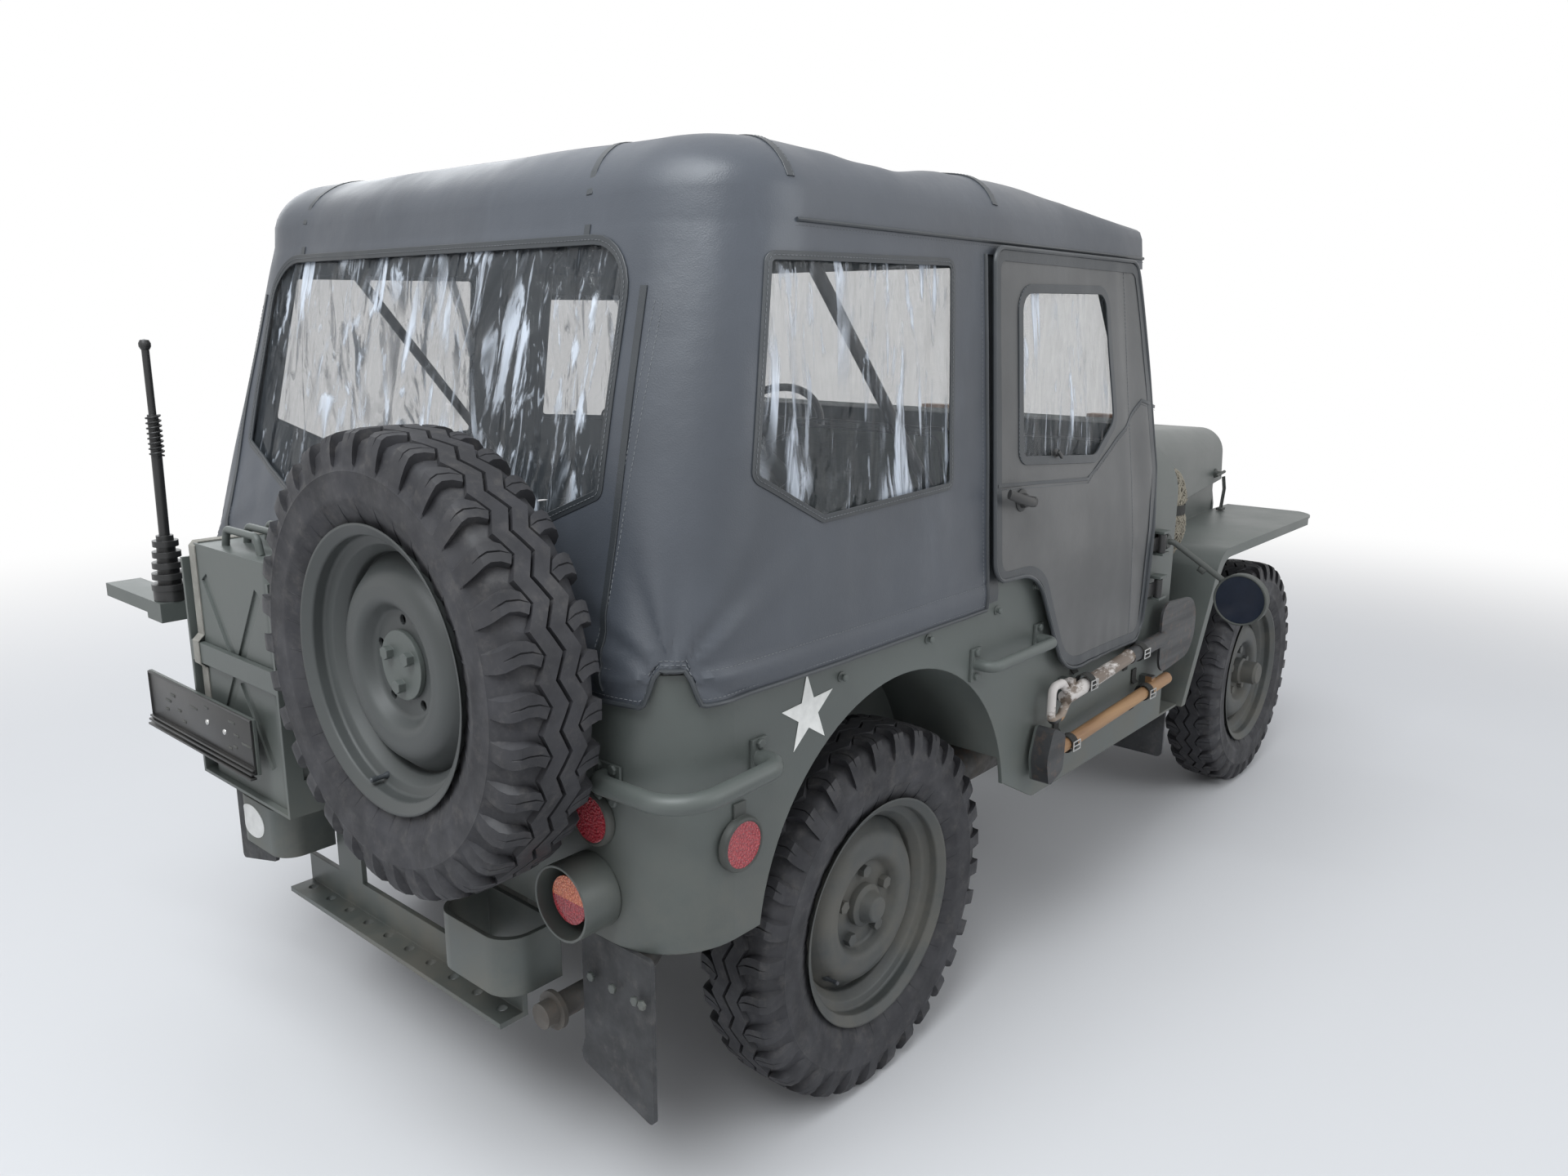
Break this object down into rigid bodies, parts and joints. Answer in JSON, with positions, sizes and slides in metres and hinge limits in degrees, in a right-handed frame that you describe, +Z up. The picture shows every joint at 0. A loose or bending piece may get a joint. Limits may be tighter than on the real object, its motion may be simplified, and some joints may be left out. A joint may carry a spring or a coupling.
{
  "type": "army 4x4 car with a soft top",
  "caption": "Light open-bodied army 4x4 car with a full soft top and soft doors, steered front wheels, hinged bonnet, rear-mounted spare wheel and strapped side tools.",
  "frame": {"origin": "middle of the car's length and width, on the ground", "axes": "+X forwards, +Y to the car's left, +Z up"},
  "size_m": [3.357, 1.9836, 1.7364],
  "materials": {
    "painted_green": "satin",
    "bare_iron": "rough",
    "worn_wood": "worn",
    "black_paint": "satin",
    "wheel_plastic": "semi-gloss",
    "black_rubber": "matte",
    "tyre_rubber": "matte",
    "top_cloth": "coated",
    "seat_cloth": "canvas",
    "net_cloth": "woven",
    "clear_vinyl": "wavy clear",
    "glass": "clear",
    "red_lens": "gloss"
  },
  "bodies": {
    "car": {"chassis_frame": "painted_green", "bumpers": "painted_green", "drawbar": "painted_green", "rear_axle": "painted_green", "front_axle": "painted_green", "leaf_springs": "bare_iron", "powertrain": "bare_iron", "tub": "painted_green", "front_wings": "painted_green", "grille": "painted_green", "windscreen_frame": "painted_green", "glass": "glass", "soft_top": "top_cloth", "clear_windows": "clear_vinyl", "top_bows": "black_paint", "seats": "seat_cloth", "dashboard": "painted_green", "petrol_can": "painted_green", "rear_carriers": "painted_green", "aerial": "black_paint", "lamps": "painted_green", "lenses": "red_lens", "grab_handles": "painted_green", "mud_flaps": "black_rubber", "side_tools": "worn_wood", "mirrors": "black_paint", "net_roll": "net_cloth", "spare_wheel": "painted_green", "spare_tyre": "tyre_rubber"},
    "knuckle_left": {"knuckle_left": "painted_green"},
    "knuckle_right": {"knuckle_right": "painted_green"},
    "wheel_front_left": {"front_left_tyre": "tyre_rubber", "front_left_wheel": "painted_green"},
    "wheel_front_right": {"front_right_tyre": "tyre_rubber", "front_right_wheel": "painted_green"},
    "wheel_rear_left": {"rear_left_tyre": "tyre_rubber", "rear_left_wheel": "painted_green"},
    "wheel_rear_right": {"rear_right_tyre": "tyre_rubber", "rear_right_wheel": "painted_green"},
    "steering_wheel": {"steering_wheel": "wheel_plastic"},
    "bonnet": {"bonnet": "painted_green"},
    "door_left": {"soft_door_left": "top_cloth", "door_window_left": "clear_vinyl"},
    "door_right": {"soft_door_right": "top_cloth", "door_window_right": "clear_vinyl"}
  },
  "joints": [
    {"name": "steer_left", "type": "hinge", "parent": "car", "child": "knuckle_left", "pos_m": [1.1485, 0.515, 0.357], "axis": [0, 0, 1], "range_deg": [-26, 26]},
    {"name": "steer_right", "type": "hinge", "parent": "car", "child": "knuckle_right", "pos_m": [1.1485, -0.515, 0.357], "axis": [0, 0, 1], "range_deg": [-26, 26]},
    {"name": "spin_front_left", "type": "hinge", "parent": "knuckle_left", "child": "wheel_front_left", "pos_m": [1.1485, 0.613, 0.357], "axis": [0, 1, 0], "continuous": true},
    {"name": "spin_front_right", "type": "hinge", "parent": "knuckle_right", "child": "wheel_front_right", "pos_m": [1.1485, -0.613, 0.357], "axis": [0, 1, 0], "continuous": true},
    {"name": "spin_rear_left", "type": "hinge", "parent": "car", "child": "wheel_rear_left", "pos_m": [-0.8835, 0.613, 0.357], "axis": [0, 1, 0], "continuous": true},
    {"name": "spin_rear_right", "type": "hinge", "parent": "car", "child": "wheel_rear_right", "pos_m": [-0.8835, -0.613, 0.357], "axis": [0, 1, 0], "continuous": true},
    {"name": "steering_wheel_turn", "type": "hinge", "parent": "car", "child": "steering_wheel", "pos_m": [-0.1135, 0.33, 1.105], "axis": [-0.788, 0, 0.6157], "range_deg": [-365, 365]},
    {"name": "open_door_left", "type": "hinge", "parent": "car", "child": "door_left", "pos_m": [0.1305, 0.758, 0.88], "axis": [0, 0, -1], "range_deg": [0, 70]},
    {"name": "open_door_right", "type": "hinge", "parent": "car", "child": "door_right", "pos_m": [0.1305, -0.758, 0.88], "axis": [0, 0, 1], "range_deg": [0, 70]},
    {"name": "open_bonnet", "type": "hinge", "parent": "car", "child": "bonnet", "pos_m": [0.2725, 0, 1.184], "axis": [0, -1, 0], "range_deg": [0, 112]}
  ],
  "couplings": [
    {"joint": "steer_right", "follows": "steer_left", "ratio": 1},
    {"joint": "steering_wheel_turn", "follows": "steer_left", "ratio": 14}
  ]
}
